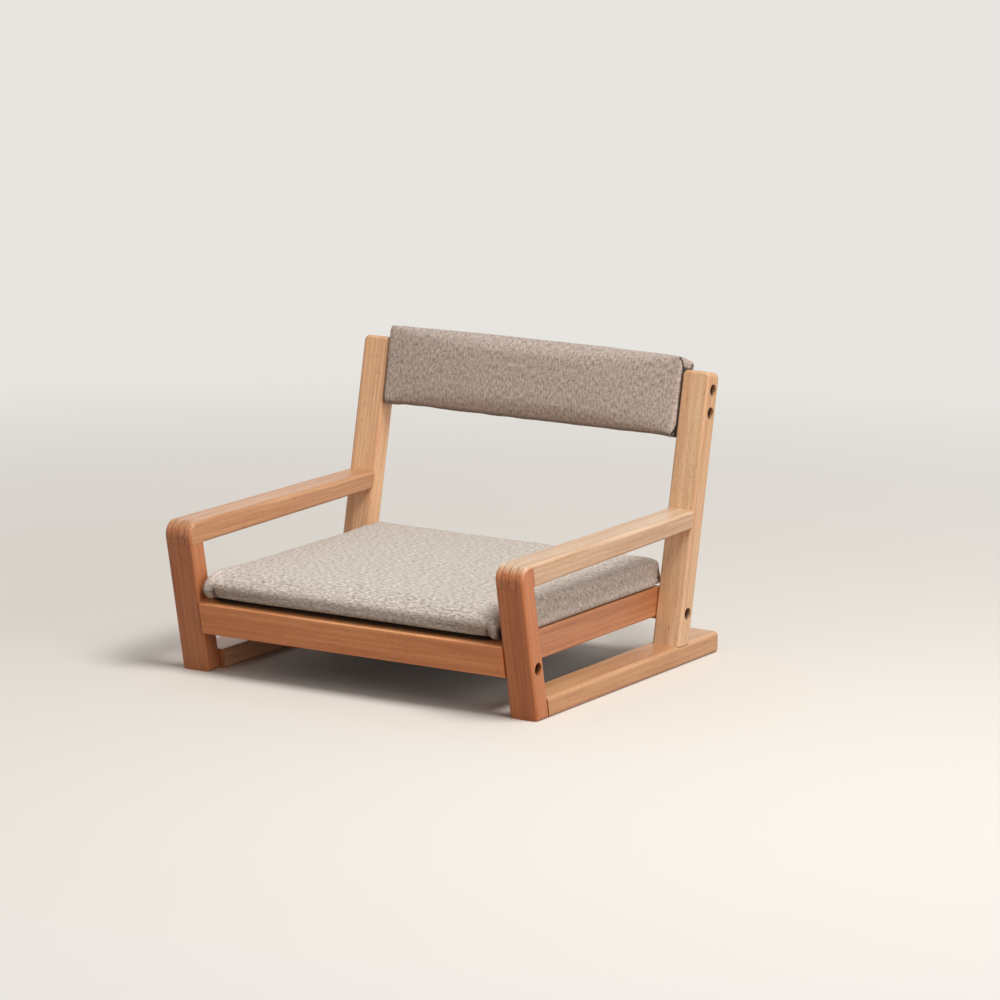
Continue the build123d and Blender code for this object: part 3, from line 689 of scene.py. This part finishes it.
# Back cushion: a bar with rounded long edges and folded end caps, shaped upright and then leaned back
back_low, back_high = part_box("back_cover")
back_half = np.array([0.1999, 0.0164, 0.0464])
back_centre = Vector((0, (back_low.y + back_high.y) / 2, (back_low.z + back_high.z) / 2))
back_steps = (0.0048, 0.0021, 0.0026)
end_cap_places = (0.0, 0.0012, 0.0024, 0.0036, 0.0052, 0.008)
back_crown = 0.0022
back_draw_in = 0.0010
back_pressure = 2.0
back_swell = 0.0025
back_held_share = 0.96
back_bumps = ((0.0004, 0.045, 1.3), (0.0002, 0.015, 5.2))
long_edge_round = 0.0085
upper_end_tightening = 0.0058
lower_end_tightening = 0.0030
front_end_round = 0.0050
rear_end_round = 0.0030

# Its seams, end caps, low edge and top corners, and its shades
board_clearance = 0.0004
board_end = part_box("back_board")[1].x + board_clearance
board_zone_thickness = 0.0105
board_zone_height = 0.039
board_zone_depth = 0.003
seam_slope = 1.5
seam_strength = 1.5
seam_width = 0.0024
seam_depth = 0.0014
end_shift = 0.0004
end_wave_size = 0.011
end_wave_seed = 4.6
low_wave = 0.0008
low_wave_size = 0.022
low_wave_seed = 9.4
low_sag = 0.0024
top_fall = 0.0048
top_pull = 0.0045
pucker_slope = 0.3
pucker_depth = 0.0012
gap_shade = 0.9
low_edge_shade = 0.55
low_edge_width = 0.0021

back_shell = block_grid([places_along(back_half[0], back_steps[0], end_cap_places),
                         places_along(back_half[1], back_steps[1]),
                         places_along(back_half[2], back_steps[2])])
back_points = shell_points(back_shell)
at_end = ramp(np.abs(back_points[:, 0]) - back_half[0], -0.024, 0.020)
tightening = np.where(back_points[:, 2] > 0, upper_end_tightening, lower_end_tightening)
long_round = long_edge_round - tightening * at_end
end_round = np.where(back_points[:, 1] < 0, front_end_round, rear_end_round)
back_points = rounded(back_points, back_half, np.stack([end_round, long_round, long_round], axis=1))
share_x = np.abs(back_points[:, 0]) / back_half[0]
share_z = np.abs(back_points[:, 2]) / back_half[2]
back_points[:, 1] += np.sign(back_points[:, 1]) * back_crown * (1 - share_x ** 6) * (1 - share_z ** 2)
back_points[:, 2] -= np.sign(back_points[:, 2]) * back_draw_in * share_z ** 6 * (1 - share_x ** 2)
back_pad = new_piece("back_pad", back_shell, back_points)
padded_out(back_pad, share_x > back_held_share, back_pressure, back_swell)
subdivided(back_pad)

# Softness of the back cushion, then where each point is on it
back_points = points_of(back_pad.data)
back_normals = normals_of(back_pad.data)
back_points += back_normals * softness(back_points, back_bumps)[:, None]
thickness = back_points[:, 1]
height = back_points[:, 2]
side = np.sign(back_points[:, 0])
from_end = back_half[0] - np.abs(back_points[:, 0])
from_face = back_half[1] - np.abs(thickness)
from_long_edge = back_half[2] - np.abs(height)
to_rear = np.clip((thickness + back_half[1]) / (2 * back_half[1]), 0, 1)
at_end = 1 - ramp(from_end, 0.002, 0.012)
on_cap = 1 - ramp(from_end, 0.0015, 0.002)
low_edge = ramp(-height, 0.030, 0.014)
high_edge = ramp(height, 0.025, 0.018)
inside_corner = ramp(0.020 - from_face, 0, 0.004)
seam = np.minimum(seam_strength * bell(from_long_edge - seam_slope * from_face, seam_width), 1)
seam *= inside_corner * on_cap
in_gap = 1 - ramp(from_end, 0.0010, 0.0016)
in_gap *= ramp(to_rear, 0.13, 0.05) * (1 - ramp(to_rear, 0.92, 0.05))
in_gap *= 1 - ramp(height, 0.034, 0.003)
along_end = unevenness(back_points * np.array([0, 0, 1]), end_wave_size, end_wave_seed)
along_low = unevenness(back_points * np.array([1, 0, 0]), low_wave_size, low_wave_seed)

# Mitred seams on the caps, kept outside the board, then a sagging low edge and turned-back top corners
back_points[:, 0] -= side * (seam_depth * seam + end_shift * at_end * (1 + along_end) * (1 - high_edge))
over_board = (np.abs(thickness) < board_zone_thickness) & (np.abs(height) < board_zone_height)
over_board &= from_end < board_zone_depth
kept_out = np.maximum(np.abs(back_points[over_board, 0]), board_end)
back_points[over_board, 0] = side[over_board] * kept_out
back_points[:, 2] += (low_wave * along_low - low_sag * bell(from_end - 0.006, 0.013)) * low_edge
back_points[:, 2] -= top_fall * to_rear * high_edge * at_end
back_points[:, 1] += top_pull * ramp(to_rear, 0.6, 0.4) * high_edge * at_end
slant = bell(from_end - 0.012 - pucker_slope * (back_half[2] - height), 0.004)
pucker = slant * high_edge * bell(from_end - 0.016, 0.012)
back_points[:, 1] += pucker_depth * pucker * (to_rear < 0.4)
# Painted shade: dark along the mitred seams, in the gap beside the posts and along the low edge
back_painted_shade = seam + gap_shade * in_gap + low_edge_shade * bell(height + back_half[2], low_edge_width)
place_points(back_pad.data, back_points)
mark_painted_shade(back_pad, back_painted_shade)
back_pad.data.transform(Matrix.Translation(back_centre) @ Matrix.Rotation(-rear_lean, 4, "X"))

# One cloth on both cushions, with painted shade on the back, which is tinted darker: strokes mostly across
# the seat, and mostly up the back
seat_pad.data.materials.append(linen("linen_seat", (1.0, 1.0, 1.0, 1.0), 0.75))
back_pad.data.materials.append(linen("linen_back_painted_shade", (0.78, 0.72, 0.7, 1.0), 0.3))
for piece, covered in ((seat_pad, ("seat_cover", "seat_foam")), (back_pad, ("back_cover", "back_foam"))):
    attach(piece, "root")
    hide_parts(*covered)

# Floor: pale where it is seen, browner in the light that it throws back, and evenly bright far off
floor_reach = 40.0
fade_start = 0.5
fade_end = 2.0
floor_corners = [(-floor_reach, -floor_reach, 0), (floor_reach, -floor_reach, 0),
                 (floor_reach, floor_reach, 0), (-floor_reach, floor_reach, 0)]
floor_mesh = bpy.data.meshes.new("floor")
floor_mesh.from_pydata(floor_corners, [], [(0, 1, 2, 3)])
floor = bpy.data.objects.new("floor", floor_mesh)
scene.collection.objects.link(floor)
floor_finish, floor_tree, floor_shader = new_material("floor")
floor_seen = seen_rays(floor_tree)
floor_colour = mixed(floor_tree, floor_seen, colour(152, 122, 98), colour(226, 221, 214))
floor_tree.links.new(floor_colour, floor_shader.inputs["Base Color"])
floor_shader.inputs["Roughness"].default_value = 0.9
floor_place = add_node(floor_tree, "ShaderNodeTexCoord").outputs["Object"]
from_chair = add_node(floor_tree, "ShaderNodeVectorMath", {0: floor_place}, operation="LENGTH")
faded = spread(floor_tree, from_chair.outputs["Value"], fade_start, fade_end)
far = calc(floor_tree, "MULTIPLY", faded, floor_seen)
far_floor = add_node(floor_tree, "ShaderNodeEmission", {"Color": colour(232, 229, 224), "Strength": 1.0})
floor_surface = shader_blend(floor_tree, far, floor_shader.outputs[0], far_floor.outputs[0])
floor_tree.links.new(floor_surface, floor_tree.nodes["Material Output"].inputs["Surface"])
floor_mesh.materials.append(floor_finish)

# Light
world = bpy.data.worlds.new("world")
scene.world = world
world.use_nodes = True
sky = world.node_tree
sky_light = sky.nodes["Background"]
sky_light.inputs["Color"].default_value = (1.0, 0.95, 0.9, 1.0)
sky_light.inputs["Strength"].default_value = 0.36
pale_sky = add_node(sky, "ShaderNodeBackground", {"Color": (0.93, 0.93, 0.92, 1.0), "Strength": 1.0})
sky_surface = shader_blend(sky, seen_rays(sky), sky_light.outputs[0], pale_sky.outputs[0])
sky.links.new(sky_surface, sky.nodes["World Output"].inputs["Surface"])
lit_point = (0, 0, 0.15)


def area_light(name, place, size, power, tint):
    """A square soft light that faces the chair."""
    data = bpy.data.lights.new(name, "AREA")
    data.size = size
    data.energy = power
    data.color = tint
    light = bpy.data.objects.new(name, data)
    scene.collection.objects.link(light)
    light.location = place
    light.rotation_euler = (Vector(lit_point) - Vector(place)).to_track_quat("-Z", "Y").to_euler()


area_light("key", (1.5, -0.56, 3.15), 1.3, 90, (1.0, 1.0, 0.98))
area_light("side", (2.88, -0.9, 1.02), 1.6, 31, (1.0, 0.97, 0.94))

# Camera: focal length in picture widths, and where a point inside the chair is seen, as picture shares
azimuth = radians(30.62)
elevation = radians(11.39)
roll = radians(0.92)
distance = 5.709
focal = 4.884
sensor_width = 36.0
centre = Vector((0, 0.039735, 0.150))
centre_seen = (0.46529, 0.53101)
toward = Vector((sin(azimuth) * cos(elevation), -cos(azimuth) * cos(elevation), sin(elevation)))
level = Vector((cos(azimuth), sin(azimuth), 0))
upward = toward.cross(level)
picture_right = level * cos(roll) + upward * sin(roll)
picture_up = upward * cos(roll) - level * sin(roll)
off_middle = picture_right * (0.5 - centre_seen[0]) + picture_up * (centre_seen[1] - 0.5)
stand = centre + toward * distance
aim = centre + off_middle / focal * distance
camera_data = bpy.data.cameras.new("camera")
camera_data.sensor_width = sensor_width
camera_data.lens = sensor_width * focal
camera_data.clip_end = 200.0
camera = bpy.data.objects.new("camera", camera_data)
scene.collection.objects.link(camera)
camera.location = stand
camera.rotation_mode = "QUATERNION"
camera.rotation_quaternion = (aim - stand).to_track_quat("-Z", "Y") @ Quaternion((0, 0, 1), roll)
scene.camera = camera
scene.view_settings.view_transform = "Standard"
